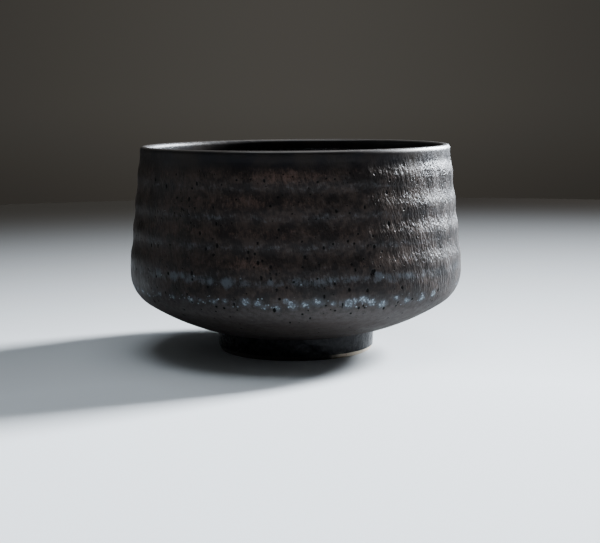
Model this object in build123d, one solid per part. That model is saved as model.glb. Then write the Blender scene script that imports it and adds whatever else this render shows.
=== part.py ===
from build123d import *

import os
from math import cos, pi, radians, sin

# A footed stoneware bowl, thrown on a wheel, glazed in coats, its foot ring wiped bare where it stands.
# Lengths are in millimetres. Z is up, the bowl's axis is the Z axis and the foot stands on Z = 0.
# Every outline is drawn as (radius, height) and turned round that axis. A coat of glaze lies between
# two runs of the same outline: its own surface (inset 0) and the clay under it (inset GLAZE_T).

GLAZE_T = 0.45

# The outside, measured over the glaze.
HEIGHT = 74.3
BELLY_R = 60.0
TURN_Z = 29.0  # below here the upright wall turns under
TURN_R = 12.5
TURN_END_SLOPE = 33.0  # degrees from level, where the turn runs out into the underside

# The throwing rings of the outside wall.
WALL_R = 59.75  # at the lowest crest
LOW_CREST_Z = 36.0
WALL_TAPER = 0.105  # lean towards the axis for each millimetre up
RING_PITCH = 9.7
RING_DEPTH = 0.36  # crest to groove

# The lip, one full round from wall to wall, with a coat of its own that runs a little way down.
LIP_T = 3.0
LIP_ROUND_Z = HEIGHT - LIP_T / 2
LIP_COAT_Z = 70.6

# The inside, measured over the glaze.
INNER_R = 55.0  # where the upright wall turns into the floor
INNER_TURN_Z = 33.0
INNER_TURN_R = 16.0
INNER_END_SLOPE = 10.0  # degrees from level, where that turn runs out into the floor
INNER_RINGS = 4
INNER_RING_DEPTH = 0.3
FLOOR_Z = 14.0
WELL_R = 13.0  # the shallow well in the middle of the floor
WELL_DEPTH = 0.9

# The foot ring. Its outside is measured over the glaze, its recess on the bare clay.
CREASE_Z = 7.7  # where the foot's outside meets the underside
LAND_Z = CREASE_Z + 0.4  # the underside is trimmed level here, and the ring is luted on
FOOT_R = 28.6  # at the crease
FOOT_TAPER = 0.06
FOOT_EDGE_R = 1.1  # round of the bare edge outside the contact ring
RECESS_R = 21.5
RECESS_EDGE_R = 0.8
RECESS_CORNER_R = 1.8  # glaze pooled in the corner of the recess
GLAZE_LINE_Z = 1.7  # the foot is wiped clean of glaze below here

STEPS_PER_RING = 6
SLOPE_STEP = 0.01


def outer_wall(z):
    """Radius of the outside wall: an even lean, drawn in by one groove in each ring's pitch."""
    lean = WALL_R - WALL_TAPER * (z - LOW_CREST_Z)
    return lean - RING_DEPTH / 2 * (1 - cos(2 * pi * (z - LOW_CREST_Z) / RING_PITCH))


LIP_OUT_R = outer_wall(LIP_ROUND_Z)
LIP_IN_R = LIP_OUT_R - LIP_T


def inner_wall(z):
    """Radius of the inside wall: a lean from floor turn to lip, with its own shallow rings."""
    share = (z - INNER_TURN_Z) / (LIP_ROUND_Z - INNER_TURN_Z)
    lean = INNER_R + (LIP_IN_R - INNER_R) * share
    return lean + INNER_RING_DEPTH / 2 * (1 - cos(2 * pi * INNER_RINGS * share))


def foot_wall(z, inset):
    """Radius of the foot's outside, or of the clay under its glaze."""
    return FOOT_R - inset - FOOT_TAPER * (CREASE_Z - z)


def upward(wall, z):
    """The way a wall runs upward at a height."""
    return (wall(z + SLOPE_STEP) - wall(z - SLOPE_STEP), 2 * SLOPE_STEP)


def downward(wall, z):
    return (wall(z - SLOPE_STEP) - wall(z + SLOPE_STEP), -2 * SLOPE_STEP)


def inward(slope):
    """The way the underside or the floor runs towards the axis, down a slope in degrees."""
    return (-cos(radians(slope)), -sin(radians(slope)))


def low_quarter(centre, radius, slope):
    """The point of a circle's lower right quarter where it has the given slope, in degrees."""
    return (centre[0] + radius * sin(radians(slope)), centre[1] - radius * cos(radians(slope)))


def heights(high, low):
    """Even heights from high to low, enough to follow the rings."""
    steps = max(2, round(STEPS_PER_RING * (high - low) / RING_PITCH))
    return [high - (high - low) * step / steps for step in range(steps + 1)]


def crease(inset):
    """Where the foot meets the underside, on the glaze or on the clay."""
    z = LAND_Z if inset else CREASE_Z
    return (foot_wall(z, inset), z)


def outside_line(inset):
    """The outside, from the lip's coat down to the foot's crease."""
    rings = [(outer_wall(z) - inset, z) for z in heights(LIP_COAT_Z, LOW_CREST_Z)]
    belly = (BELLY_R - inset, TURN_Z)
    turn_end = low_quarter((BELLY_R - TURN_R, TURN_Z), TURN_R - inset, TURN_END_SLOPE)
    return [
        Spline(rings + [belly], tangents=[downward(outer_wall, LIP_COAT_Z), (0, -1)]),
        TangentArc(belly, turn_end, tangent=(0, -1)),
        TangentArc(turn_end, crease(inset), tangent=inward(TURN_END_SLOPE)),
    ]


def lip_line(inset):
    """The lip's coat: a short stretch of each wall and the round between them."""
    outside = [(outer_wall(z) - inset, z) for z in heights(LIP_ROUND_Z, LIP_COAT_Z)]
    inside = [(inner_wall(z) + inset, z) for z in heights(LIP_ROUND_Z, LIP_COAT_Z)]
    top = ((LIP_OUT_R + LIP_IN_R) / 2, HEIGHT - inset)
    return [
        Spline(outside[::-1], tangents=[upward(outer_wall, LIP_COAT_Z), (0, 1)]),
        ThreePointArc(outside[0], top, inside[0]),
        Spline(inside, tangents=[(0, -1), downward(inner_wall, LIP_COAT_Z)]),
    ]


def inside_line(inset):
    """The inside, from the lip's coat down the wall and over the floor to the axis."""
    wall = [(inner_wall(z) + inset, z) for z in heights(LIP_COAT_Z, INNER_TURN_Z)]
    turn_centre = (INNER_R - INNER_TURN_R, INNER_TURN_Z)
    turn_end = low_quarter(turn_centre, INNER_TURN_R + inset, INNER_END_SLOPE)
    well_edge = (WELL_R, FLOOR_Z - inset)
    well_middle = (0, FLOOR_Z - WELL_DEPTH - inset)
    floor = TangentArc(turn_end, well_edge, tangent=inward(INNER_END_SLOPE))
    return [
        Spline(wall, tangents=[downward(inner_wall, LIP_COAT_Z), (0, -1)]),
        TangentArc(wall[-1], turn_end, tangent=(0, -1)),
        floor,
        Spline([well_edge, well_middle], tangents=[floor % 1, (-1, 0)]),
    ]


def foot_line(inset):
    """The foot's outside, from the crease down to where its coat ends."""
    end_z = GLAZE_LINE_Z + GLAZE_T - inset
    return [Line(crease(inset), (foot_wall(end_z, inset), end_z))]


def recess_line(inset):
    """The recess, over its ceiling and down its wall. The clay's corner is sharp, the glaze's is not."""
    ceiling_z = LAND_Z - GLAZE_T + inset
    wall_r = RECESS_R - GLAZE_T + inset
    wall_end = (wall_r, GLAZE_LINE_Z + GLAZE_T - inset)
    if inset:
        corner = (wall_r, ceiling_z)
        return [Line((0, ceiling_z), corner), Line(corner, wall_end)]
    ceiling_end = (wall_r - RECESS_CORNER_R, ceiling_z)
    wall_start = (wall_r, ceiling_z - RECESS_CORNER_R)
    corner = TangentArc(ceiling_end, wall_start, tangent=(1, 0))
    return [Line((0, ceiling_z), ceiling_end), corner, Line(wall_start, wall_end)]


def turned(outline):
    """The solid that a closed outline sweeps in one turn round the axis."""
    return revolve(Plane.XZ * make_face(outline), Axis.Z)


def clay_body():
    """The thrown wall and floor under all its glaze, with the level land that carries the foot."""
    inside = inside_line(GLAZE_T)
    land_middle = (0, LAND_Z)
    middle = Line(inside[-1] @ 1, land_middle)
    land = Line(land_middle, crease(GLAZE_T))
    return turned(outside_line(GLAZE_T) + lip_line(GLAZE_T) + inside + [middle, land])


def foot_ring():
    """The ring between the land and the table, with its bare edges rounded."""
    wall_top = crease(GLAZE_T)
    wall_low = (foot_wall(FOOT_EDGE_R, GLAZE_T), FOOT_EDGE_R)
    outer_contact = (wall_low[0] - FOOT_EDGE_R, 0)
    inner_contact = (RECESS_R + RECESS_EDGE_R, 0)
    recess_low = (RECESS_R, RECESS_EDGE_R)
    recess_top = (RECESS_R, LAND_Z)
    return turned(
        [
            Line(recess_top, wall_top),
            Line(wall_top, wall_low),
            TangentArc(wall_low, outer_contact, tangent=(0, -1)),
            Line(outer_contact, inner_contact),
            TangentArc(inner_contact, recess_low, tangent=(-1, 0)),
            Line(recess_low, recess_top),
        ]
    )


def coat(line, rounded_end=False):
    """A coat between the clay and the glaze's surface. A rounded end rolls over on to the clay."""
    surface = line(0)
    clay = line(GLAZE_T)
    start = Line(surface[0] @ 0, clay[0] @ 0)
    if rounded_end:
        end = TangentArc(surface[-1] @ 1, clay[-1] @ 1, tangent=surface[-1] % 1)
    else:
        end = Line(surface[-1] @ 1, clay[-1] @ 1)
    return turned(surface + clay + [start, end])


def write(name, solid):
    export_step(solid, f"parts/{name}.step")


os.makedirs("parts", exist_ok=True)
write("clay_body", clay_body())
write("foot_ring", foot_ring())
write("outer_glaze", coat(outside_line))
write("lip_glaze", coat(lip_line))
write("inner_glaze", coat(inside_line))
write("foot_glaze", coat(foot_line, rounded_end=True))
write("recess_glaze", coat(recess_line, rounded_end=True))
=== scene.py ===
import math

import bpy
import numpy as np
from mathutils import Matrix, Vector


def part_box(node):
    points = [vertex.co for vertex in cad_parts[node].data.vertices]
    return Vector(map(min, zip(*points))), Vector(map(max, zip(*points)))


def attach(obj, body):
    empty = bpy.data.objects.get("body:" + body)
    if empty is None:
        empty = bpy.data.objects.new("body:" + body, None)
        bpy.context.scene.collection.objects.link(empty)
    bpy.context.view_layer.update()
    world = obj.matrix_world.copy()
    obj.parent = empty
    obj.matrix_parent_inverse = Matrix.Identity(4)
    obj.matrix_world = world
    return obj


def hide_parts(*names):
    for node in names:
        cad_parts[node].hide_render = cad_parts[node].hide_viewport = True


# The looks of a footed stoneware bowl. Shapes are worked out in millimetres round the bowl's axis, as
# radius, height and turn, and each piece is written to its mesh in metres. A turn of 0 faces the camera
# (-Y) and turns grow towards +X.

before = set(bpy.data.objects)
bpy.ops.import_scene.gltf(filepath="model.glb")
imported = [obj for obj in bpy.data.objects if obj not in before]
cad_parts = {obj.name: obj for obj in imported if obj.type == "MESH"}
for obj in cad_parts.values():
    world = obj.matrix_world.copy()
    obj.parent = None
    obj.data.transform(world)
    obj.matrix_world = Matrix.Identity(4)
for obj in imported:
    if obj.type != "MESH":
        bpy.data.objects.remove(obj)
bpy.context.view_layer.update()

MM = 0.001
TAU = 2 * math.pi


def sizes(node):
    """A CAD node's radius, lowest and highest height, in millimetres."""
    low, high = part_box(node)
    return high.x / MM, low.z / MM, high.z / MM


# ---------------------------------------------------------------------------------------------------
# The bowl's outline, as in the CAD model
# ---------------------------------------------------------------------------------------------------

BELLY_R, CREASE_Z, LIP_COAT_Z = sizes("outer_glaze")
_, _, HEIGHT = sizes("lip_glaze")
FOOT_R, GLAZE_LINE_Z, LAND_Z = sizes("foot_glaze")
RECESS_R, _, _ = sizes("recess_glaze")

GLAZE_T = 0.45
# The outside wall leans in above its lowest crest, with shallow grooves between the throwing rings. Below
# the belly it turns under to a slope that runs in to the crease.
WALL_R = 59.75
LOW_CREST_Z = 36.0
WALL_TAPER = 0.105
RING_PITCH = 9.7
RING_DEPTH = 0.36
TURN_Z = 29.0
TURN_R = 12.5
TURN_END_SLOPE = math.radians(33.0)
LIP_T = 3.0
LIP_ROUND_Z = HEIGHT - LIP_T / 2
# The inside has gentler rings and turns in to a floor with a shallow well.
INNER_R = 55.0
INNER_TURN_Z = 33.0
INNER_TURN_R = 16.0
INNER_END_SLOPE = math.radians(10.0)
INNER_RINGS = 4
INNER_RING_DEPTH = 0.3
FLOOR_Z = 14.0
WELL_R = 13.0
WELL_DEPTH = 0.9
FOOT_TAPER = 0.06
FOOT_EDGE_R = 1.1
RECESS_EDGE_R = 0.8
RECESS_CORNER_R = 1.8
SHARP_CORNER_R = 0.01


def outer_wall(z):
    """The outside wall's radius at a height."""
    lean = WALL_R - WALL_TAPER * (z - LOW_CREST_Z)
    return lean - RING_DEPTH / 2 * (1 - np.cos(TAU * (z - LOW_CREST_Z) / RING_PITCH))


LIP_OUT_R = outer_wall(LIP_ROUND_Z)
LIP_IN_R = LIP_OUT_R - LIP_T


def inner_wall(z):
    """The inside wall's radius at a height."""
    share = (z - INNER_TURN_Z) / (LIP_ROUND_Z - INNER_TURN_Z)
    lean = INNER_R + (LIP_IN_R - INNER_R) * share
    return lean + INNER_RING_DEPTH / 2 * (1 - np.cos(TAU * INNER_RINGS * share))


def ease(t):
    """t held between 0 and 1, with a soft start and end."""
    t = np.clip(t, 0, 1)
    return t * t * (3 - 2 * t)


def arc(centre_r, centre_z, radius, first, last, steps):
    """Points on a circle between two angles."""
    angles = np.linspace(first, last, steps)
    return np.column_stack([centre_r + radius * np.cos(angles), centre_z + radius * np.sin(angles)])


def arc_from(start, slope, end, steps):
    """The arc that leaves start along a slope (towards the axis and down) and passes through end."""
    inward = np.array([-math.sin(slope), math.cos(slope)])
    chord = np.subtract(end, start)
    radius = chord @ chord / 2 / (chord @ inward)
    centre = start + radius * inward
    first = math.atan2(start[1] - centre[1], start[0] - centre[0])
    last = math.atan2(end[1] - centre[1], end[0] - centre[0])
    return arc(*centre, radius, first, last, steps)


def turn_under(centre, radius, slope, steps):
    """The arc from a circle's rightmost point down to where it has the given slope."""
    return arc(*centre, radius, 0, slope - math.pi / 2, steps)


def crease(inset):
    """The corner between the turned-under belly and the foot."""
    z = CREASE_Z + (LAND_Z - CREASE_Z) * inset / GLAZE_T
    return np.array([FOOT_R - inset - FOOT_TAPER * (CREASE_Z - z), z])


# Each line below walks the section the same way round, with the bowl on its right: out over the floor,
# up the inside, over the lip, down the outside, down the foot and back in under the bowl. An inset of 0
# gives the glaze's surface and an inset of GLAZE_T the clay under it. The counts of points only have to be
# fine enough for the meshes, which take evenly spaced points from these lines.


def outside_line(inset):
    """The outside from the lip's coat down to the foot's crease."""
    wall_z = np.linspace(LIP_COAT_Z, LOW_CREST_Z, 400)
    blend_z = np.linspace(LOW_CREST_Z, TURN_Z, 60)[1:]
    share = ease((LOW_CREST_Z - blend_z) / (LOW_CREST_Z - TURN_Z))
    blend_r = outer_wall(blend_z) * (1 - share) + BELLY_R * share
    wall = np.column_stack([outer_wall(wall_z), wall_z])
    belly = np.column_stack([blend_r, blend_z])
    wall[:, 0] -= inset
    belly[:, 0] -= inset
    turn = turn_under((BELLY_R - TURN_R, TURN_Z), TURN_R - inset, TURN_END_SLOPE, 120)[1:]
    under = arc_from(turn[-1], TURN_END_SLOPE, crease(inset), 200)[1:]
    return np.vstack([wall, belly, turn, under])


def lip_line(inset):
    """The lip's coat, from its inner edge over the round to its outer edge."""
    z = np.linspace(LIP_COAT_Z, LIP_ROUND_Z, 30)
    middle = (LIP_OUT_R + LIP_IN_R) / 2
    top = arc(middle, LIP_ROUND_Z, LIP_T / 2 - inset, math.pi, 0, 80)[1:-1]
    inside = np.column_stack([inner_wall(z) + inset, z])
    outside = np.column_stack([outer_wall(z) - inset, z])[::-1]
    return np.vstack([inside, top, outside])


def inside_line(inset):
    """The inside from the axis out over the floor and up the wall to the lip's coat."""
    z = np.linspace(LIP_COAT_Z, INNER_TURN_Z, 300)
    wall = np.column_stack([inner_wall(z) + inset, z])
    centre = (INNER_R - INNER_TURN_R, INNER_TURN_Z)
    turn = turn_under(centre, INNER_TURN_R + inset, INNER_END_SLOPE, 120)[1:]
    floor = arc_from(turn[-1], INNER_END_SLOPE, (WELL_R, FLOOR_Z - inset), 120)[1:]
    share = np.linspace(1, 0, 60)[1:]
    well = np.column_stack([WELL_R * share, FLOOR_Z - inset - WELL_DEPTH * (1 - ease(share))])
    return np.vstack([wall, turn, floor, well])[::-1]


def foot_line(inset):
    """The foot's outside from the crease down to the glaze line."""
    top = crease(inset)
    z = np.linspace(top[1], GLAZE_LINE_Z, 60)
    return np.column_stack([FOOT_R - inset - FOOT_TAPER * (CREASE_Z - z), z])


def recess_line(inset):
    """The recess from the glaze line up its wall and over its ceiling to the axis."""
    ceiling_z = LAND_Z - GLAZE_T + inset
    wall_r = RECESS_R - GLAZE_T + inset
    corner_r = RECESS_CORNER_R * (1 - inset / GLAZE_T) + SHARP_CORNER_R
    corner = arc(wall_r - corner_r, ceiling_z - corner_r, corner_r, 0, math.pi / 2, 20)
    wall_z = np.linspace(GLAZE_LINE_Z, ceiling_z - corner_r, 20)[:-1]
    wall = np.column_stack([np.full(len(wall_z), wall_r), wall_z])
    ceiling_r = np.linspace(wall_r - corner_r, 0, 40)[1:]
    ceiling = np.column_stack([ceiling_r, np.full(len(ceiling_r), ceiling_z)])
    return np.vstack([wall, corner, ceiling])


def ring_line():
    """The foot ring's clay, from its outer top edge down, under and up to its inner top edge."""
    low_r = FOOT_R - GLAZE_T - FOOT_TAPER * (CREASE_Z - FOOT_EDGE_R)
    top = crease(GLAZE_T)
    outer = np.linspace((top[0], LAND_Z), (low_r, FOOT_EDGE_R), 20)
    edge_middle = low_r - FOOT_EDGE_R
    outer_edge = arc(edge_middle, FOOT_EDGE_R, FOOT_EDGE_R, 0, -math.pi / 2, 12)[1:]
    edge_middle = RECESS_R + RECESS_EDGE_R
    inner_edge = arc(edge_middle, RECESS_EDGE_R, RECESS_EDGE_R, -math.pi / 2, -math.pi, 12)
    contact = np.linspace(outer_edge[-1], inner_edge[0], 10)[1:-1]
    inner = np.linspace(inner_edge[-1], (RECESS_R, LAND_Z), 14)[1:]
    return np.vstack([outer, outer_edge, contact, inner_edge, inner])


# ---------------------------------------------------------------------------------------------------
# Noise, relief and marks on the glaze
# ---------------------------------------------------------------------------------------------------

# Each kind of unevenness: how far it strays, the width and height of its cells in millimetres, its seed.
SLOW_WANDER = (0.22, 95, 60, 11)
QUICK_WANDER = (0.10, 38, 24, 12)
RING_SHIFT = (0.9, 70, 16, 13)
RING_DEEPENING = (1.0, 45, 10, 14)
LIP_LIFT = (0.16, 110, 60, 15)
WRINKLE_SWAY = (1.3, 9, 8, 21)
WIDE_WRINKLES = (0.022, 2.1, 4.6, 22)
FINE_WRINKLES = (0.024, 1.15, 2.6, 23)
RUST_SPREAD = (0.3, 16, 9, 51)
HAZE_COLUMNS = (0.3, 9, 30, 52)
HAZE_LEVEL = (0.5, 22, 40, 53)
HAZE_TUFTS = (0.3, 3, 2, 54)
FOOT_LUMPS = (0.10, 7, 4, 61)
RECESS_LUMPS = (0.05, 12, 5, 62)
SMEAR_AND_SHADE_GAPS = (2.2, 26, 60, 63)
SMEAR_AND_SHADE_EDGE = (1.0, 5, 60, 64)


# The noise reaches a little below the table and above the lip.
NOISE_BELOW = 5
NOISE_REACH = HEIGHT + 20
SPARE_ROWS = 4


def noise(turn, z, kind):
    """Smooth noise about 0 that closes on itself after a full turn. Its cells have their stated width at
    the belly."""
    amount, across, along, seed = kind
    columns = max(2, round(TAU * BELLY_R / across))
    rows = int(NOISE_REACH / along) + SPARE_ROWS
    table = np.random.default_rng(seed).uniform(-1, 1, (rows, columns))
    u = turn / TAU * columns
    v = (z + NOISE_BELOW) / along
    i = np.floor(u).astype(int)
    j = np.clip(np.floor(v).astype(int), 0, rows - 2)
    fu = ease(u - i)
    fv = ease(v - j)
    left = table[j, i % columns] * (1 - fv) + table[j + 1, i % columns] * fv
    right = table[j, (i + 1) % columns] * (1 - fv) + table[j + 1, (i + 1) % columns] * fv
    return amount * (left * (1 - fu) + right * fu)


def band(z, middle, width):
    """1 at a height, fading to 0 at width above and below it."""
    return ease(1 - np.abs(z - middle) / width)


def near_turn(turn, middle):
    """How far a turn is from another, in millimetres round the belly."""
    return ((turn - middle + math.pi) % TAU - math.pi) * BELLY_R


def by_hand(turn, r, z):
    """The small ways in which a hand-thrown bowl strays from a true round: the wall wanders in and out,
    and the lip up and down. Both die out towards the foot and the axis."""
    rising = ease((z - CREASE_Z) / 8)
    wander = noise(turn, z, SLOW_WANDER) + noise(turn, z, QUICK_WANDER)
    lift = noise(turn, 0 * z, LIP_LIFT) * ease((z - TURN_Z) / (HEIGHT - TURN_Z))
    return r + wander * rising * r / BELLY_R, z + lift


MORE_RING_DEPTH = 0.04


def ring_drift(turn, z):
    """The throwing rings wander up and down a little, and are deeper in places."""
    wall = ease((LIP_COAT_Z - z) / 4) * ease((z - TURN_Z) / 6)
    shift = noise(turn, z, RING_SHIFT)
    wandered = outer_wall(z + shift) - outer_wall(z) + WALL_TAPER * shift
    groove = (1 - np.cos(TAU * (z - LOW_CREST_Z) / RING_PITCH)) / 2
    return wall * (wandered - MORE_RING_DEPTH * groove * (1 + noise(turn, z, RING_DEEPENING)))


WRINKLE_LOW = 22.0
WRINKLE_SLANT = 0.22


def wrinkled(z):
    """Where the glaze is wrinkled: all the wall, but neither the lip nor the underside."""
    return ease((LIP_COAT_Z - z) / 3.5) * ease((z - WRINKLE_LOW) / 9)


def wrinkles(turn, z):
    """Fine upright runs in the glaze, a little aslant, stronger towards +X."""
    aslant = turn + (WRINKLE_SLANT * z + noise(turn, z, WRINKLE_SWAY)) / BELLY_R
    stronger = 0.75 + 0.35 * np.sin(turn)
    return stronger * (noise(aslant, z, WIDE_WRINKLES) + noise(aslant, z, FINE_WRINKLES))


# Pits that stand out on the front, as (turn in degrees, height, half width): the rest are scattered.
FRONT_PITS = [
    (40, 69.0, 0.9), (-12, 44.8, 0.6), (-15, 41.8, 0.6), (-30, 42.4, 0.6), (-6, 35.0, 0.6),
    (3, 40.4, 0.7), (9, 43.2, 0.65), (12, 44.4, 0.6), (17, 29.4, 0.7), (23, 28.9, 0.85),
    (25, 34.8, 1.0), (26, 42.9, 0.7), (19, 35.8, 0.6), (19, 44.2, 0.6), (22, 39.1, 0.55),
    (32, 50.0, 0.75), (32, 60.2, 0.65), (46, 62.6, 0.8),
]
FRONT_PIT_SIZE = 0.85
PIT_COUNT = 330
PIT_TOP = LIP_COAT_Z - 1.5
PIT_LOW = 18.0
PIT_DEPTH = 0.22
PIT_MIN_R = 0.28
PIT_MORE_R = 0.36
PIT_RARITY = 2.5
PIT_TALLNESS = (1.0, 1.6)


def pit_places():
    """Every pit as (turn, height, half width, half height)."""
    rng = np.random.default_rng(31)
    turns = rng.uniform(0, TAU, PIT_COUNT)
    levels = rng.uniform(PIT_LOW, PIT_TOP, PIT_COUNT)
    half_widths = PIT_MIN_R + PIT_MORE_R * rng.random(PIT_COUNT) ** PIT_RARITY
    pits = list(zip(turns, levels, half_widths))
    pits += [(math.radians(t), z, FRONT_PIT_SIZE * r) for t, z, r in FRONT_PITS]
    tallness = rng.uniform(*PIT_TALLNESS, len(pits))
    return [(turn, z, r, r * tall) for (turn, z, r), tall in zip(pits, tallness)]


# Clusters of crystals on the front, as (turn in degrees, height, half width).
FRONT_CLUSTERS = [
    (-51, 25.6, 0.7), (-44, 25.3, 0.8), (-36, 25.0, 1.0), (-32, 25.2, 0.7), (-27, 25.1, 1.0),
    (-23, 25.7, 0.8), (-16, 25.6, 1.3), (-12, 25.1, 1.0), (-10, 23.8, 0.9), (-6, 23.6, 1.0),
    (-3, 26.1, 0.9), (-1, 24.6, 1.3), (3, 24.9, 1.1), (7, 25.6, 1.6), (12, 25.0, 0.8),
    (17, 24.6, 1.5), (19, 25.6, 1.0), (22, 25.8, 1.4), (25, 24.6, 1.2), (29, 23.7, 1.4),
    (34, 25.5, 0.8), (39, 24.0, 1.2), (46, 24.2, 1.2), (52, 24.8, 1.0),
]
FRONT_CLUSTER_SIZE = 1.15
FRONT_HALF_TURN = math.radians(58)
BACK_CLUSTERS = 48
BACK_CLUSTER_R = (0.6, 1.5)
CLUSTER_TALLNESS = (0.6, 1.0)
FLECK_Z = 25.0
FLECK_Z_SPREAD = 0.7
FLECK_RAISED = 0.03


def cluster_places():
    """Every crystal cluster as (turn, height, half width, half height)."""
    rng = np.random.default_rng(41)
    back = rng.uniform(FRONT_HALF_TURN, TAU - FRONT_HALF_TURN, BACK_CLUSTERS)
    levels = FLECK_Z + rng.normal(0, FLECK_Z_SPREAD, BACK_CLUSTERS)
    half_widths = rng.uniform(*BACK_CLUSTER_R, BACK_CLUSTERS)
    clusters = list(zip(back, levels, half_widths))
    clusters += [(math.radians(t), z, FRONT_CLUSTER_SIZE * r) for t, z, r in FRONT_CLUSTERS]
    tallness = rng.uniform(*CLUSTER_TALLNESS, len(clusters))
    return [(turn, z, r, r * tall) for (turn, z, r), tall in zip(clusters, tallness)]


def dots(turn, z, places):
    """1 at the middle of the nearest place, 0 at its edge and negative beyond it, down to -1."""
    field = np.full(z.shape, -1.0)
    for place_turn, place_z, half_width, half_height in places:
        rows = np.abs(z[:, 0] - place_z) < 2 * half_height
        aside = near_turn(turn[rows], place_turn) / half_width
        above = (z[rows] - place_z) / half_height
        field[rows] = np.maximum(field[rows], 1 - np.hypot(aside, above))
    return field


# ---------------------------------------------------------------------------------------------------
# Meshes
# ---------------------------------------------------------------------------------------------------


def resampled(line, rows):
    """An outline again as evenly spaced points."""
    steps = np.hypot(*np.diff(line, axis=0).T)
    along = np.concatenate([[0], np.cumsum(steps)])
    even = np.linspace(0, along[-1], rows)
    return np.column_stack([np.interp(even, along, line[:, 0]), np.interp(even, along, line[:, 1])])


def facing(line):
    """Unit normals of an outline, away from the bowl's clay."""
    run = np.gradient(line, axis=0)
    run /= np.linalg.norm(run, axis=1, keepdims=True)
    return np.column_stack([-run[:, 1], run[:, 0]])


def swept(line, columns, relief=None):
    """Places of an outline turned round the axis, in rows: turn, radius and height of each point, moved
    along the outline's normal by relief(turn, z)."""
    turn = np.linspace(0, TAU, columns, endpoint=False)[None, :] + np.zeros((len(line), 1))
    r = np.repeat(line[:, :1], columns, axis=1)
    z = np.repeat(line[:, 1:], columns, axis=1)
    if relief:
        normals = facing(line)
        height = relief(turn, z)
        r = r + normals[:, :1] * height
        z = z + normals[:, 1:] * height
    return turn, r, z


def places_of(turn, r, z):
    """Points in metres, with the small ways of a hand-thrown bowl in them."""
    r, z = by_hand(turn, r, z)
    return np.stack([r * np.sin(turn), -r * np.cos(turn), z], axis=-1).reshape(-1, 3) * MM


def ring_faces(rows, columns, first=0):
    """Quads between neighbouring rows of points, facing away from the clay."""
    row, column = np.meshgrid(np.arange(rows - 1), np.arange(columns), indexing="ij")
    after = (column + 1) % columns
    corners = [
        row * columns + column,
        (row + 1) * columns + column,
        (row + 1) * columns + after,
        row * columns + after,
    ]
    return (np.stack(corners, axis=-1).reshape(-1, 4) + first).tolist()


def fan_faces(pole, first, columns, flip):
    """Triangles from a single point on the axis to a ring of points."""
    sides = [(first + k, first + (k + 1) % columns) for k in range(columns)]
    return [(pole, b, a) if flip else (pole, a, b) for a, b in sides]


def seam_faces(fine_start, fine_columns, coarse_start, coarse_columns, flip):
    """Faces that join a fine ring of points to a coarse one."""
    share = fine_columns // coarse_columns
    faces = []
    for k in range(coarse_columns):
        fine = [fine_start + (k * share + i) % fine_columns for i in range(share + 1)]
        coarse = [coarse_start + (k + 1) % coarse_columns, coarse_start + k]
        face = fine + coarse
        faces.append(face[::-1] if flip else face)
    return faces


def mesh_object(name, vertices, faces, marks=None):
    """A smooth-shaded object. marks are values for each point that its material reads."""
    mesh = bpy.data.meshes.new(name)
    mesh.from_pydata(vertices.tolist(), [], faces)
    mesh.polygons.foreach_set("use_smooth", [True] * len(mesh.polygons))
    for mark, values in (marks or {}).items():
        layer = mesh.attributes.new(mark, "FLOAT", "POINT")
        layer.data.foreach_set("value", np.ravel(values).astype(np.float32))
    mesh.update()
    piece = bpy.data.objects.new(name, mesh)
    bpy.context.scene.collection.objects.link(piece)
    return piece


def sharpen_ends(piece):
    """Keeps a coat's narrow ends, its only many-cornered faces, out of the shading of its surface."""
    mesh = piece.data
    ends = set()
    for face in mesh.polygons:
        if len(face.vertices) > 4:
            ends.update(tuple(sorted(pair)) for pair in face.edge_keys)
    sharp = mesh.attributes.new("sharp_edge", "BOOLEAN", "EDGE")
    values = [tuple(sorted(edge.vertices)) in ends for edge in mesh.edges]
    sharp.data.foreach_set("value", values)
    mesh.update()


# A coat's plain back has this many times fewer points round it than its surface.
BACK_SHARE = 8


def coat(name, line, rows, columns, relief=None, marks=None, back_rows=36):
    """A closed coat of glaze: its detailed surface, its plain back against the clay and its two ends.
    A line that starts or ends on the axis is closed there by a single point."""
    face_line = resampled(line(0), rows)
    clay_side = resampled(line(GLAZE_T), back_rows)
    first_on_axis = face_line[0, 0] < MM
    last_on_axis = face_line[-1, 0] < MM
    off_axis = slice(1 if first_on_axis else 0, -1 if last_on_axis else None)
    face_line = face_line[off_axis]
    clay_side = clay_side[off_axis]
    back_columns = columns // BACK_SHARE
    front = swept(face_line, columns, relief)
    back = swept(clay_side, back_columns)
    vertices = [places_of(*front), places_of(*back)]
    first_back = len(face_line) * columns
    faces = ring_faces(len(face_line), columns)
    faces += [face[::-1] for face in ring_faces(len(clay_side), back_columns, first_back)]
    count = first_back + len(clay_side) * back_columns
    ends = [
        (first_on_axis, 0, 0, first_back, False),
        (last_on_axis, -1, first_back - columns, count - back_columns, True),
    ]
    for on_axis, end, front_ring, back_ring, flip in ends:
        if on_axis:
            vertices.append(np.array([(0, 0, line(inset)[end, 1] * MM) for inset in (0, GLAZE_T)]))
            faces += fan_faces(count, front_ring, columns, flip)
            faces += fan_faces(count + 1, back_ring, back_columns, not flip)
            count += 2
        else:
            faces += seam_faces(front_ring, columns, back_ring, back_columns, flip)
    places = np.vstack(vertices)
    level = np.repeat(face_line[:, 1:], columns, axis=1)
    values = {}
    for mark, rule in (marks or {}).items():
        values[mark] = np.zeros(len(places))
        values[mark][:first_back] = rule(front[0], level).ravel()
    piece = mesh_object(name, places, faces, values)
    sharpen_ends(piece)
    return piece


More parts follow.
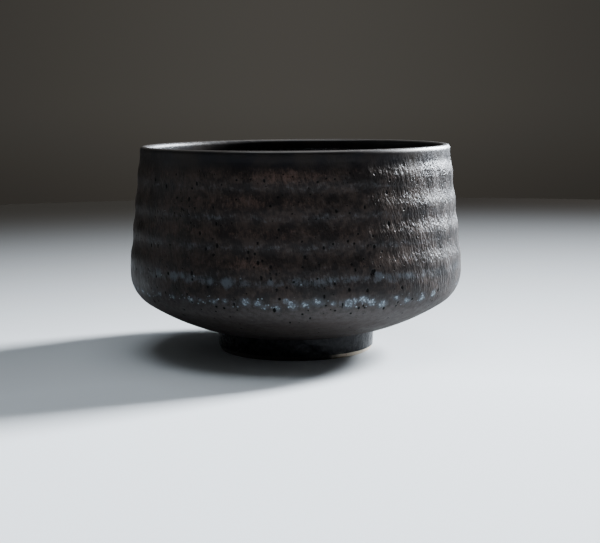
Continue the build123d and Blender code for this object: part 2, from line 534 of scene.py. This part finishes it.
def turned_solid(name, line, rows, columns):
    """A closed solid whose outline runs from the axis round to the axis again."""
    outline = resampled(line, rows)[1:-1]
    turned = swept(outline, columns)
    first = len(outline) * columns
    poles = np.array([(0, 0, line[0, 1]), (0, 0, line[-1, 1])]) * MM
    faces = ring_faces(len(outline), columns)
    faces += fan_faces(first, 0, columns, False)
    faces += fan_faces(first + 1, first - columns, columns, True)
    return mesh_object(name, np.vstack([places_of(*turned), poles]), faces)


def turned_ring(name, line, rows, columns, marks):
    """A closed ring whose outline comes back to where it started."""
    outline = resampled(np.vstack([line, line[:1]]), rows + 1)
    turn, r, z = swept(outline, columns)
    faces = np.array(ring_faces(rows + 1, columns)) % (rows * columns)
    values = {mark: rule(turn[:-1], z[:-1]) for mark, rule in marks.items()}
    return mesh_object(name, places_of(turn[:-1], r[:-1], z[:-1]), faces.tolist(), values)


# ---------------------------------------------------------------------------------------------------
# Material nodes
# ---------------------------------------------------------------------------------------------------


def node(tree, kind, inputs=None, **settings):
    """A shader node with its settings, and each input either set or linked."""
    made = tree.nodes.new("ShaderNode" + kind)
    for name, value in settings.items():
        setattr(made, name, value)
    for socket, value in (inputs or {}).items():
        if isinstance(value, bpy.types.NodeSocket):
            tree.links.new(value, made.inputs[socket])
        else:
            made.inputs[socket].default_value = value
    return made


def math_node(tree, operation, first, second=0.0):
    """The result of one sum, of numbers or sockets."""
    return node(tree, "Math", {0: first, 1: second}, operation=operation).outputs[0]


def add(tree, first, second):
    """first + second"""
    return math_node(tree, "ADD", first, second)


def less(tree, first, second):
    """first - second"""
    return math_node(tree, "SUBTRACT", first, second)


def times(tree, first, second):
    """first * second"""
    return math_node(tree, "MULTIPLY", first, second)


def larger(tree, first, second):
    """The larger of two values."""
    return math_node(tree, "MAXIMUM", first, second)


def magnitude(tree, value):
    """value without its sign."""
    return math_node(tree, "ABSOLUTE", value)


def off_middle(tree, value, amount):
    """Noise moved to lie evenly about 0 and scaled."""
    return times(tree, less(tree, value, 0.5), amount)


def ramp(tree, value, low, high, to_low=0.0, to_high=1.0):
    """value's share of the way from low to high, eased and clamped."""
    inputs = {"Value": value, "From Min": low, "From Max": high, "To Min": to_low, "To Max": to_high}
    return node(tree, "MapRange", inputs, interpolation_type="SMOOTHSTEP").outputs["Result"]


def blend(tree, share, first, second):
    """A colour share of the way from first to second."""
    mixed = node(tree, "Mix", data_type="RGBA")
    for name, value in {"Factor": share, "A": first, "B": second}.items():
        socket = [s for s in mixed.inputs if s.name == name and s.enabled][0]
        if isinstance(value, bpy.types.NodeSocket):
            tree.links.new(value, socket)
        else:
            socket.default_value = value
    return [s for s in mixed.outputs if s.enabled][0]


def colour(red, green, blue):
    """An opaque colour."""
    return (red, green, blue, 1.0)


def vector_node(tree, operation, first, second):
    """The result of one sum, of vectors or sockets."""
    return node(tree, "VectorMath", {0: first, 1: second}, operation=operation).outputs[0]


def coordinate(tree, spot, axis):
    """One coordinate of a place."""
    return node(tree, "SeparateXYZ", {0: spot}).outputs[axis]


def millimetres(tree):
    """The surface's own coordinates, in millimetres."""
    own = node(tree, "TexCoord").outputs["Object"]
    return node(tree, "VectorMath", {0: own, "Scale": 1 / MM}, operation="SCALE").outputs[0]


def runs(tree, spot, twist, squash):
    """Coordinates in which noise comes out drawn along the wall, a little aslant."""
    angle = times(tree, coordinate(tree, spot, "Z"), twist)
    turned = node(tree, "VectorRotate", {"Vector": spot, "Angle": angle}, rotation_type="Z_AXIS")
    return vector_node(tree, "MULTIPLY", turned.outputs[0], (1, 1, squash))


def grain(tree, spot, size, detail=2.0, roughness=0.5):
    """Noise between 0 and 1 with marks about size millimetres wide."""
    inputs = {"Vector": spot, "Scale": 1 / size, "Detail": detail, "Roughness": roughness}
    return node(tree, "TexNoise", inputs).outputs[0]


def cells(tree, spot, size):
    """Scattered cells about size millimetres wide, as the Distance to their middles and a Color for each."""
    return node(tree, "TexVoronoi", {"Vector": spot, "Scale": 1 / size, "Randomness": 1.0}).outputs


def lot(tree, cell, channel):
    """A value between 0 and 1 for each cell, from one channel of its colour."""
    return node(tree, "SeparateColor", {0: cell["Color"]}).outputs[channel]


def carried(tree, name):
    """One of the marks that the mesh carries for each point."""
    return node(tree, "Attribute", attribute_name=name).outputs["Fac"]


def bump(tree, height, distance, under=None):
    """A normal bent by a height field. distance is how many millimetres a height of 1 stands up."""
    inputs = {"Height": height, "Distance": distance * MM, "Strength": 1.0}
    if under:
        inputs["Normal"] = under
    return node(tree, "Bump", inputs).outputs[0]


def surface(name, build):
    """A material whose Principled shader takes the values that build(tree) gives."""
    material = bpy.data.materials.new(name)
    material.use_nodes = True
    tree = material.node_tree
    tree.nodes.clear()
    shader = node(tree, "BsdfPrincipled", build(tree))
    node(tree, "OutputMaterial", {"Surface": shader.outputs[0]})
    return material


# ---------------------------------------------------------------------------------------------------
# Materials
# ---------------------------------------------------------------------------------------------------

BLACK_BROWN = colour(0.0078, 0.0064, 0.0060)
WARM_BROWN = colour(0.023, 0.0163, 0.0135)
RUST = colour(0.086, 0.054, 0.043)
STEEL_HAZE = colour(0.047, 0.055, 0.064)
CRYSTAL_BLUE = colour(0.080, 0.100, 0.119)
CRYSTAL_WHITE = colour(0.225, 0.270, 0.310)
# Painted shade for the inside of the pits and pinholes.
PAINTED_PIT_SHADE = colour(0.002, 0.002, 0.002)
LIP_BLACK = colour(0.0055, 0.0055, 0.0065)
LIP_SMOKE = colour(0.0120, 0.0098, 0.0088)
LIP_BROWN = colour(0.036, 0.029, 0.025)
GREY_BROWN = colour(0.031, 0.0265, 0.0245)
PALE_GREY_BROWN = colour(0.050, 0.0455, 0.0440)
INSIDE_BLACK = colour(0.004, 0.004, 0.005)
INSIDE_GREY = colour(0.010, 0.010, 0.012)
FOOT_BLACK = colour(0.003, 0.003, 0.004)
FOOT_GREY = colour(0.012, 0.012, 0.014)
CLAY = colour(0.60, 0.51, 0.39)
PALE_CLAY = colour(0.74, 0.66, 0.54)
IRON_SPECK = colour(0.12, 0.07, 0.04)
# Thin glaze over the foot ring's clay, which also serves as painted shade there.
THIN_GLAZE_AND_SHADE = colour(0.007, 0.006, 0.006)

SATIN_IOR = 1.19
FOOT_IOR = 1.18
GLOSS_IOR = 1.5
CLAY_ROUGHNESS = 0.88
HOLE_ROUGHNESS = 0.9

# The slant of the glaze's runs, in radians for each millimetre of height.
RUN_TWIST = 0.0038
# Heights of the bumps in millimetres, and the shares of the wall's texture that the lip and underside have.
WALL_BUMP = 0.32
DUST_BUMP = 0.02
HOLE_BUMP = -0.15
LIP_TEXTURE = 0.4
UNDERSIDE_TEXTURE = 0.18
# Sizes of the Voronoi cells behind each kind of mark, in millimetres.
CRYSTAL_SIZE = 0.85
DOT_SPACING = 1.5
PIN_SPACING = 2.6
SPECK_SPACING = 1.1


def lip_colour(tree, spot):
    """The thin dark glaze at the lip, smoky in places."""
    return blend(tree, ramp(tree, grain(tree, spot, 7.0, 4.0, 0.6), 0.35, 0.7), LIP_BLACK, LIP_SMOKE)


def wall_texture(tree, spot):
    """Height of the glaze's fine upright runs, stronger towards +X."""
    run = runs(tree, spot, RUN_TWIST, 0.24)
    ridge = magnitude(tree, off_middle(tree, grain(tree, run, 0.9), 2.0))
    streak = add(tree, times(tree, grain(tree, run, 0.55), 0.3), times(tree, ridge, -0.5))
    streak = add(tree, streak, times(tree, grain(tree, run, 1.45), 0.85))
    lumps = times(tree, grain(tree, spot, 1.3, 2.0, 0.55), 0.75)
    stronger = ramp(tree, coordinate(tree, spot, "X"), -40.0, 15.0, 0.5, 1.0)
    return times(tree, add(tree, streak, lumps), stronger)


def pins(tree, spot, widest):
    """Pinholes of many sizes, up to widest times their spacing."""
    cell = cells(tree, spot, PIN_SPACING)
    return ramp(tree, less(tree, times(tree, lot(tree, cell, 0), widest), cell["Distance"]), -0.04, 0.02)


class Grains:
    """The noises that the parts of the iron glaze share."""

    def __init__(self, tree, spot):
        self.dust = grain(tree, spot, 0.32, 2.0, 0.6)
        self.fine = grain(tree, runs(tree, spot, RUN_TWIST, 0.3), 0.6, 3.0, 0.6)
        self.medium = grain(tree, spot, 1.7, 3.0)
        self.broad = grain(tree, spot, 7.0, 4.0, 0.6)
        self.speckled = add(tree, off_middle(tree, self.fine, 1.5), off_middle(tree, self.dust, 1.1))


def cloudy_brown(tree, height, grains):
    """The glaze's ground: clouds of black and brown, greyer on the underside."""
    cloudy = add(tree, grains.broad, off_middle(tree, grains.medium, 0.6))
    cloudy = add(tree, cloudy, off_middle(tree, grains.fine, 0.25))
    ground = blend(tree, ramp(tree, cloudy, 0.36, 0.68), BLACK_BROWN, WARM_BROWN)
    mottle = add(tree, off_middle(tree, grains.medium, 1.2), off_middle(tree, grains.dust, 1.0))
    greyed = blend(tree, ramp(tree, height, 16.0, 21.0), GREY_BROWN, PALE_GREY_BROWN)
    under = ramp(tree, height, 29.5, 20.0)
    return blend(tree, times(tree, under, ramp(tree, mottle, -0.35, 0.35, 0.45, 1.0)), ground, greyed)


def rusted(tree, spot, base, grains):
    """The glaze with its rust dust."""
    patchy = add(tree, grains.speckled, off_middle(tree, grain(tree, spot, 2.4, 4.0, 0.7), 2.6))
    return blend(tree, ramp(tree, add(tree, carried(tree, "rust"), patchy), 0.2, 2.1), base, RUST)


def haze_share(tree, grains):
    """How much steel-blue haze there is."""
    hazy = add(tree, grains.speckled, off_middle(tree, grains.medium, 1.6))
    return ramp(tree, add(tree, carried(tree, "haze"), hazy), 0.25, 1.6)


def clustered_crystals(tree, spot, grains):
    """Crystals that crowd together in the mesh's flecks."""
    distance = cells(tree, spot, CRYSTAL_SIZE)["Distance"]
    crystal = add(tree, times(tree, ramp(tree, distance, 0.62, 0.22), 0.75), 0.25)
    ragged = off_middle(tree, grain(tree, spot, 0.9, 3.0, 0.6), 2.6)
    uneven = add(tree, ragged, off_middle(tree, grains.broad, 1.6))
    return times(tree, crystal, ramp(tree, add(tree, carried(tree, "fleck"), uneven), -0.05, 0.35))


def single_crystals(tree, spot, height, haze):
    """Small single crystals, likelier in the haze and near the height of the flecks."""
    cell = cells(tree, spot, DOT_SPACING)
    near_flecks = ramp(tree, magnitude(tree, less(tree, height, FLECK_Z)), 3.0, 0.8)
    chance = larger(tree, near_flecks, times(tree, haze, 0.8))
    picked = ramp(tree, less(tree, lot(tree, cell, 1), times(tree, chance, 0.4)), 0.0, -0.06)
    return times(tree, ramp(tree, cell["Distance"], 0.26, 0.12), times(tree, picked, 0.75))


def crystalled(tree, spot, height, base, haze, grains):
    """The glaze with its blue-white crystals, and a soft halo round their clusters."""
    around = add(tree, carried(tree, "fleck"), off_middle(tree, grains.medium, 1.2))
    base = blend(tree, ramp(tree, around, -1.0, 0.3, 0.0, 0.2), base, CRYSTAL_BLUE)
    singles = single_crystals(tree, spot, height, haze)
    flecks = larger(tree, clustered_crystals(tree, spot, grains), singles)
    tint = blend(tree, ramp(tree, grains.fine, 0.38, 0.62), CRYSTAL_BLUE, CRYSTAL_WHITE)
    return blend(tree, flecks, base, tint)


def lip_share(tree, height, grains):
    """How far the glaze has turned into the lip's, with a wavy border that is level at the coat's edge."""
    waving = ramp(tree, height, LIP_COAT_Z, LIP_COAT_Z - 2.0)
    wavy = add(tree, height, times(tree, off_middle(tree, grains.broad, 4.0), waving))
    return ramp(tree, wavy, LIP_COAT_Z - 4.5, LIP_COAT_Z - 0.2)


def hole_share(tree, spot, near_lip, grains):
    """The mesh's pits, and pinholes that keep off the lip."""
    pit = ramp(tree, add(tree, carried(tree, "pit"), off_middle(tree, grains.fine, 0.7)), -0.1, 0.25)
    pin = times(tree, pins(tree, spot, 0.17), less(tree, 1.0, near_lip))
    return larger(tree, pit, pin)


def iron_glaze(tree):
    """The outside: dark iron glaze, satin, with rust dust on the slopes of its rings, steel-blue haze and
    crystals low down, and pits all over, with painted shade in the pits."""
    spot = millimetres(tree)
    height = coordinate(tree, spot, "Z")
    grains = Grains(tree, spot)
    haze = haze_share(tree, grains)
    near_lip = lip_share(tree, height, grains)
    holes = hole_share(tree, spot, near_lip, grains)

    base = rusted(tree, spot, cloudy_brown(tree, height, grains), grains)
    base = blend(tree, haze, base, STEEL_HAZE)
    base = crystalled(tree, spot, height, base, haze, grains)
    base = blend(tree, near_lip, base, lip_colour(tree, spot))
    # Painted shade: the pits and pinholes are coloured near black.
    base = blend(tree, holes, base, PAINTED_PIT_SHADE)

    smoother = less(tree, 1.0, times(tree, near_lip, 1 - LIP_TEXTURE))
    rough_wall = times(tree, ramp(tree, height, 19.0, 30.0, UNDERSIDE_TEXTURE, 1.0), smoother)
    normal = bump(tree, times(tree, wall_texture(tree, spot), rough_wall), WALL_BUMP)
    normal = bump(tree, grains.dust, DUST_BUMP, under=normal)
    normal = bump(tree, holes, HOLE_BUMP, under=normal)

    roughness = ramp(tree, grains.broad, 0.35, 0.65, 0.33, 0.48)
    roughness = add(tree, roughness, times(tree, ramp(tree, height, 31.0, 21.0), 0.34))
    roughness = less(tree, roughness, times(tree, near_lip, 0.03))
    roughness = larger(tree, roughness, times(tree, holes, HOLE_ROUGHNESS))
    return {"Base Color": base, "Roughness": roughness, "Normal": normal, "IOR": SATIN_IOR}


def lip_gloss(tree):
    """The lip's coat: smooth and dark, thinner and browner over its crest."""
    spot = millimetres(tree)
    height = coordinate(tree, spot, "Z")
    fine = grain(tree, spot, 0.5, 3.0, 0.6)
    medium = grain(tree, spot, 2.0, 3.0)
    crest = ramp(tree, add(tree, height, off_middle(tree, medium, 0.9)), HEIGHT - 0.5, HEIGHT - 0.1)
    base = blend(tree, times(tree, crest, 0.7), lip_colour(tree, spot), LIP_BROWN)
    fading = ramp(tree, height, HEIGHT - 0.6, LIP_COAT_Z + 0.8, 0.0, LIP_TEXTURE)
    normal = bump(tree, times(tree, wall_texture(tree, spot), fading), WALL_BUMP)
    normal = bump(tree, medium, 0.05, under=normal)
    normal = bump(tree, fine, 0.012, under=normal)
    return {
        "Base Color": base,
        "Roughness": ramp(tree, medium, 0.3, 0.7, 0.37, 0.47),
        "Normal": normal,
        "IOR": SATIN_IOR,
        "Coat Weight": ramp(tree, height, HEIGHT - 0.7, HEIGHT - 0.15),
        "Coat Roughness": 0.3,
        "Coat IOR": GLOSS_IOR,
    }


def black_gloss(tree):
    """The inside's black glaze: glossy, gently uneven, with faint runs down from the lip."""
    spot = millimetres(tree)
    medium = grain(tree, spot, 2.2, 3.0)
    runny = grain(tree, runs(tree, spot, 0.0, 0.18), 1.6, 3.0)
    pin = pins(tree, spot, 0.16)
    base = blend(tree, ramp(tree, runny, 0.45, 0.75), INSIDE_BLACK, INSIDE_GREY)
    normal = bump(tree, medium, 0.10)
    normal = bump(tree, runny, 0.045, under=normal)
    normal = bump(tree, pin, -0.03, under=normal)
    roughness = larger(tree, ramp(tree, runny, 0.3, 0.75, 0.22, 0.34), times(tree, pin, 0.8))
    return {"Base Color": base, "Roughness": roughness, "Normal": normal, "IOR": GLOSS_IOR}


def foot_gloss(tree):
    """The foot's black glaze, lumpy and glossy."""
    spot = millimetres(tree)
    medium = grain(tree, spot, 1.4, 3.0)
    broad = grain(tree, spot, 4.0)
    base = blend(tree, ramp(tree, medium, 0.5, 0.75), FOOT_BLACK, FOOT_GREY)
    normal = bump(tree, broad, 0.3)
    normal = bump(tree, medium, 0.14, under=normal)
    roughness = ramp(tree, medium, 0.3, 0.7, 0.2, 0.34)
    return {"Base Color": base, "Roughness": roughness, "Normal": normal, "IOR": FOOT_IOR}


def bare_stoneware(tree):
    """Unglazed clay: pale, fine grained, with specks of iron and dark smears of thin glaze and painted
    shade.
    """
    spot = millimetres(tree)
    fine = grain(tree, spot, 0.3, 3.0, 0.7)
    medium = grain(tree, spot, 2.5, 3.0)
    base = blend(tree, medium, CLAY, PALE_CLAY)
    speck = ramp(tree, cells(tree, spot, SPECK_SPACING)["Distance"], 0.16, 0.09)
    base = blend(tree, speck, base, IRON_SPECK)
    smeared_and_shaded = ramp(tree, add(tree, carried(tree, "smear_and_shade"), off_middle(tree, medium, 0.7)), 0.1, 0.8)
    # Painted shade together with thin glaze: the clay darkens wherever the smear mark is high.
    base = blend(tree, smeared_and_shaded, base, THIN_GLAZE_AND_SHADE)
    return {"Base Color": base, "Roughness": CLAY_ROUGHNESS, "Normal": bump(tree, fine, 0.05)}


# ---------------------------------------------------------------------------------------------------
# The pieces
# ---------------------------------------------------------------------------------------------------

# Rust patches on the front, as (turn in degrees, height, half width, half height, amount).
RUST_PATCHES = [
    (-3, 66.2, 14, 3.2, 1.0), (-17, 58.0, 10, 2.4, 0.8), (-12, 47.5, 16, 2.2, 0.55),
    (-14, 37.8, 8, 2.4, 0.75), (3, 57.5, 8, 2.2, 0.35), (20, 47.5, 12, 2.2, 0.4),
    (-40, 57.0, 18, 2.4, 0.35), (32, 38.0, 16, 2.4, 0.45),
]
# Bands of haze all round, as (height, half width, amount).
HAZE_BANDS = [(32.3, 3.2, 0.9), (43.4, 2.2, 0.6), (52.9, 2.2, 0.55), (62.4, 2.2, 0.5), (25.2, 3.2, 0.5)]
# Where the lowest band of haze gathers on the front, as (turn in degrees, height, half width, amount).
HAZE_SPOTS = [
    (-51, 32.8, 2.0, 1.5), (-43, 32.4, 2.2, 1.6), (-39, 32.9, 1.8, 1.4), (-28, 32.0, 1.7, 1.7),
    (-22, 31.8, 2.4, 1.8), (-17, 32.4, 1.4, 1.0), (-8, 32.2, 1.6, 1.2), (0, 32.4, 2.2, 1.1),
    (6, 31.9, 2.0, 1.1), (11, 32.6, 1.6, 1.0), (19, 32.8, 1.8, 1.0), (27, 33.0, 2.6, 1.1),
    (35, 32.6, 2.0, 1.0),
]


def rust_mark(turn, z):
    """Where the glaze breaks to rust: patches on the front and a little on every ring's upper slope."""
    slope = np.clip(np.cos(TAU * (z - LOW_CREST_Z - RING_PITCH / 4) / RING_PITCH), 0, 1)
    wall = ease((LIP_COAT_Z - z) / 3) * ease((z - 30) / 4)
    share = slope * wall * (0.22 + noise(turn, z, RUST_SPREAD))
    for degrees, level, width, tall, amount in RUST_PATCHES:
        aside = near_turn(turn, math.radians(degrees)) / width
        above = (z - level) / tall
        share = np.maximum(share, amount * ease((1.6 - np.hypot(aside, above)) / 1.4))
    return share


def haze_mark(turn, z):
    """Steel-blue haze where the glaze lies thick under each ring."""
    share = np.zeros(z.shape)
    patchy = 0.75 + noise(turn, z, HAZE_COLUMNS) + noise(turn, z, HAZE_TUFTS)
    drifting = z + noise(turn, z, HAZE_LEVEL)
    for level, half_width, amount in HAZE_BANDS:
        share = np.maximum(share, amount * patchy * band(drifting, level, half_width))
    for degrees, level, half_width, amount in HAZE_SPOTS:
        aside = near_turn(turn, math.radians(degrees)) / half_width
        above = (z - level) / (0.8 * half_width)
        share = np.maximum(share, amount * ease((1.7 - np.hypot(aside, above)) / 1.7))
    return share


BARE_TURN = math.radians(77)


def smear_and_shade_mark(turn, z):
    """Where the foot ring's clay is darkened, as thin glaze run down over it and as painted shade: all round
    but for one bare stretch in front on the right, and a few short gaps."""
    bare = ease(1.9 - np.abs(near_turn(turn, BARE_TURN)) / 34)
    behind = ease(np.abs(near_turn(turn, 0.0)) / 40 - 2.2)
    gaps = behind * ease(noise(turn, 0 * z, SMEAR_AND_SHADE_GAPS) - 0.9)
    low = ease((0.5 - z) / 0.5) * ease(noise(turn, 0 * z, SMEAR_AND_SHADE_EDGE))
    return 1 - np.maximum(np.maximum(bare, gaps), 0.6 * low)


PITS = pit_places()
CLUSTERS = cluster_places()


def fleck_mark(turn, z):
    """Where crystals cluster."""
    return dots(turn, z, CLUSTERS)


def pit_mark(turn, z):
    """Where the glaze is pitted."""
    return dots(turn, z, PITS)


def outside_relief(turn, z):
    """Everything that stands out of or sinks into the outside's plain outline."""
    pits = PIT_DEPTH * ease(pit_mark(turn, z))
    raised = FLECK_RAISED * ease(fleck_mark(turn, z))
    return ring_drift(turn, z) + wrinkled(z) * wrinkles(turn, z) - pits + raised


def foot_relief(turn, z):
    """Thick glaze on the foot: soft lumps that die out at the crease."""
    return noise(turn, z, FOOT_LUMPS) * ease((CREASE_Z - z) / 2)


def recess_relief(turn, z):
    """Soft lumps in the recess that die out at the glaze line."""
    return noise(turn, z, RECESS_LUMPS) * ease((z - GLAZE_LINE_Z) / 2)


clay_line = np.vstack(
    [inside_line(GLAZE_T), lip_line(GLAZE_T)[1:], outside_line(GLAZE_T)[1:], [[0.0, LAND_Z]]]
)

OUTSIDE_MARKS = {"rust": rust_mark, "haze": haze_mark, "fleck": fleck_mark, "pit": pit_mark}
thrown_clay = turned_solid("thrown_clay", clay_line, rows=190, columns=160)
foot_clay = turned_ring("foot_clay", ring_line(), rows=60, columns=480, marks={"smear_and_shade": smear_and_shade_mark})
outside_coat = coat(
    "outside_coat", outside_line, rows=110, columns=800, relief=outside_relief, marks=OUTSIDE_MARKS
)
lip_coat = coat("lip_coat", lip_line, rows=40, columns=800, back_rows=16)
inside_coat = coat("inside_coat", inside_line, rows=130, columns=480, back_rows=30)
foot_coat = coat("foot_coat", foot_line, rows=20, columns=480, relief=foot_relief, back_rows=6)
recess_coat = coat("recess_coat", recess_line, rows=40, columns=240, relief=recess_relief, back_rows=14)

clay = surface("bare_stoneware", bare_stoneware)
iron = surface("iron_glaze", iron_glaze)
lip_dark = surface("lip_glaze", lip_gloss)
inner_black = surface("inner_black_glaze", black_gloss)
foot_black = surface("foot_black_glaze", foot_gloss)

# piece, CAD node, material slot, material
pieces = [
    (thrown_clay, "clay_body", "stoneware", clay),
    (foot_clay, "foot_ring", "stoneware", clay),
    (outside_coat, "outer_glaze", "outer_glaze", iron),
    (lip_coat, "lip_glaze", "lip_glaze", lip_dark),
    (inside_coat, "inner_glaze", "inner_glaze", inner_black),
    (foot_coat, "foot_glaze", "foot_glaze", foot_black),
    (recess_coat, "recess_glaze", "foot_glaze", foot_black),
]
for piece, cad_node, slot, material in pieces:
    piece.data.materials.append(material)
    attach(piece, "root")
    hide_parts(cad_node)


# ---------------------------------------------------------------------------------------------------
# Stage, light and camera
# ---------------------------------------------------------------------------------------------------

# The floor's colour carries a painted pool of light, pale round a middle in front of the bowl, and painted
# shade that darkens it out to an oval edge, faster on the left than on the right. Lengths are in metres.
PAINTED_LIGHT_MIDDLE = (0.01, -0.30, 0.0)
PAINTED_LIGHT_SQUASH = 0.85
PAINTED_LIGHT_FULL_R = 0.25
PAINTED_SHADE_FULL_R = 1.01
PAINTED_SHADE_SIDE = 0.12
PAINTED_SHADE_FALL_RIGHT = 2.55
PAINTED_SHADE_FALL_LEFT = 3.1
FLOOR_ROUGHNESS = 0.6
# Colours of the painted shade at the floor's far edge, on the right and on the left.
PAINTED_SHADE_RIGHT = colour(0.0085, 0.0078, 0.0070)
PAINTED_SHADE_LEFT = colour(0.0130, 0.0122, 0.0108)
PALE = colour(0.735, 0.80, 0.865)
FLOOR_STEPS = 96


def painted_light_floor(tree):
    """Pale floor with painted light: painted shade darkens it into the room's dark with distance from the
    front.
    """
    own = node(tree, "TexCoord").outputs["Object"]
    off = vector_node(tree, "SUBTRACT", own, PAINTED_LIGHT_MIDDLE)
    off = vector_node(tree, "MULTIPLY", off, (1 / PAINTED_LIGHT_SQUASH, 1, 1))
    distance = node(tree, "VectorMath", {0: off}, operation="LENGTH").outputs["Value"]
    near = node(tree, "MapRange", {"Value": distance, "From Min": PAINTED_SHADE_FULL_R, "From Max": PAINTED_LIGHT_FULL_R})
    left = ramp(tree, coordinate(tree, own, "X"), PAINTED_SHADE_SIDE, -PAINTED_SHADE_SIDE)
    fall = add(tree, times(tree, left, PAINTED_SHADE_FALL_LEFT - PAINTED_SHADE_FALL_RIGHT), PAINTED_SHADE_FALL_RIGHT)
    share = math_node(tree, "POWER", near.outputs["Result"], fall)
    # Painted shade: the floor's colour goes from pale to near black away from the painted pool of light.
    base = blend(tree, share, blend(tree, left, PAINTED_SHADE_RIGHT, PAINTED_SHADE_LEFT), PALE)
    return {"Base Color": base, "Roughness": FLOOR_ROUGHNESS, "Specular IOR Level": 0.0}


def make_floor():
    """An oval table top that ends where its painted shade is full."""
    middle_x, middle_y, _ = PAINTED_LIGHT_MIDDLE
    across = PAINTED_LIGHT_SQUASH * PAINTED_SHADE_FULL_R
    turns = [TAU * k / FLOOR_STEPS for k in range(FLOOR_STEPS)]
    edge = [(middle_x + across * math.cos(t), middle_y + PAINTED_SHADE_FULL_R * math.sin(t), 0) for t in turns]
    floor = mesh_object("floor", np.array(edge), [list(range(FLOOR_STEPS))])
    floor.data.materials.append(surface("pale_floor_painted_light", painted_light_floor))


WINDOW_TINT = (0.985, 0.99, 1.0)
WINDOW_GLOW_TINT = (0.83, 0.905, 1.0)
ROOM_GLOW_TINT = (0.97, 0.98, 1.0)
CEILING_TINT = (0.93, 0.97, 1.0)
CEILING_PLACE = Vector((-0.05, 0.0, 1.5))


def aim(direction):
    """Rotation that points an object's -Z along a direction."""
    return Vector(direction).to_track_quat("-Z", "Y").to_euler()


def area_light(name, place, size, watts, tint, diffuse=True):
    """A rectangle of light that faces the bowl and isn't seen itself. Without diffuse it only shows as a
    reflection."""
    data = bpy.data.lights.new(name, "AREA")
    data.shape = "RECTANGLE"
    data.size, data.size_y = size
    data.energy = watts
    data.color = tint
    light = bpy.data.objects.new(name, data)
    light.location = place
    light.rotation_euler = aim(Vector((0, 0, HEIGHT * MM / 2)) - place)
    light.visible_camera = False
    light.visible_diffuse = diffuse
    bpy.context.scene.collection.objects.link(light)


def polar(azimuth, elevation, distance):
    """A place at a distance from the bowl. Azimuth turns from the front (-Y) towards +X. Both angles are in
    degrees."""
    azimuth = math.radians(azimuth)
    elevation = math.radians(elevation)
    flat = distance * math.cos(elevation)
    return Vector((flat * math.sin(azimuth), -flat * math.cos(azimuth), distance * math.sin(elevation)))


def make_lights():
    """A window behind the bowl on the right, the glow round it, the dim room on the left and the ceiling."""
    window = polar(azimuth=121, elevation=30, distance=1.7)
    area_light("window", window, size=(0.36, 0.4), watts=185, tint=WINDOW_TINT)
    glow = polar(azimuth=135.5, elevation=23, distance=1.6)
    area_light("window_glow", glow, size=(0.6, 0.6), watts=260, tint=WINDOW_GLOW_TINT, diffuse=False)
    room = polar(azimuth=-86, elevation=9, distance=1.5)
    area_light("room_glow", room, size=(1.5, 0.7), watts=2.2, tint=ROOM_GLOW_TINT, diffuse=False)
    area_light("ceiling", CEILING_PLACE, size=(1.0, 1.0), watts=10, tint=CEILING_TINT)


ROOM_BLACK = colour(0.0, 0.0, 0.0)
ROOM_LOW = colour(0.044, 0.040, 0.0345)
ROOM_WALL = colour(0.068, 0.0635, 0.0555)
ROOM_HIGH = colour(0.095, 0.095, 0.092)
# Ways into the room, as the upward or sideways part of their unit vector.
WALL_FOOT = -0.095
WALL_TOP = 0.06
FULL_HEIGHT = 0.5
FAR_ASIDE = 0.3
SIDE_SHARE = 0.65


def make_world():
    """The room: dark low down and to the sides, paler high up."""
    world = bpy.data.worlds.new("room")
    world.use_nodes = True
    tree = world.node_tree
    tree.nodes.clear()
    way = node(tree, "TexCoord").outputs["Generated"]
    up = coordinate(tree, way, "Z")
    wall = blend(tree, ramp(tree, up, WALL_FOOT, 0.0), ROOM_LOW, ROOM_WALL)
    aside = magnitude(tree, coordinate(tree, way, "X"))
    darker = blend(tree, SIDE_SHARE, ROOM_BLACK, wall)
    wall = blend(tree, ramp(tree, aside, 0.0, FAR_ASIDE), wall, darker)
    base = blend(tree, ramp(tree, up, WALL_TOP, FULL_HEIGHT), wall, ROOM_HIGH)
    background = node(tree, "Background", {"Color": base, "Strength": 1.0})
    node(tree, "OutputWorld", {"Surface": background.outputs[0]})
    bpy.context.scene.world = world


CAMERA_BACK = 0.497
CAMERA_UP = 0.0934
CAMERA_PITCH = math.radians(7.5)
CAMERA_YAW = math.radians(0.19)
CAMERA_ROLL = math.radians(-0.42)
CAMERA_LENS = 82.2
CAMERA_SENSOR = 36.0


def make_camera():
    """A view from a little above the lip, looking slightly down on the bowl."""
    ahead = Vector((
        math.sin(CAMERA_YAW) * math.cos(CAMERA_PITCH),
        math.cos(CAMERA_YAW) * math.cos(CAMERA_PITCH),
        -math.sin(CAMERA_PITCH),
    ))
    right = Vector((math.cos(CAMERA_YAW), -math.sin(CAMERA_YAW), 0))
    up = right.cross(ahead)
    tilted_right = math.cos(CAMERA_ROLL) * right + math.sin(CAMERA_ROLL) * up
    tilted_up = -math.sin(CAMERA_ROLL) * right + math.cos(CAMERA_ROLL) * up
    data = bpy.data.cameras.new("camera")
    data.lens = CAMERA_LENS
    data.sensor_width = CAMERA_SENSOR
    data.clip_start = 0.01
    camera = bpy.data.objects.new("camera", data)
    turned = Matrix((tilted_right, tilted_up, -ahead)).transposed().to_4x4()
    camera.matrix_world = Matrix.Translation((0, -CAMERA_BACK, CAMERA_UP)) @ turned
    bpy.context.scene.collection.objects.link(camera)
    bpy.context.scene.camera = camera


make_floor()
make_lights()
make_world()
make_camera()
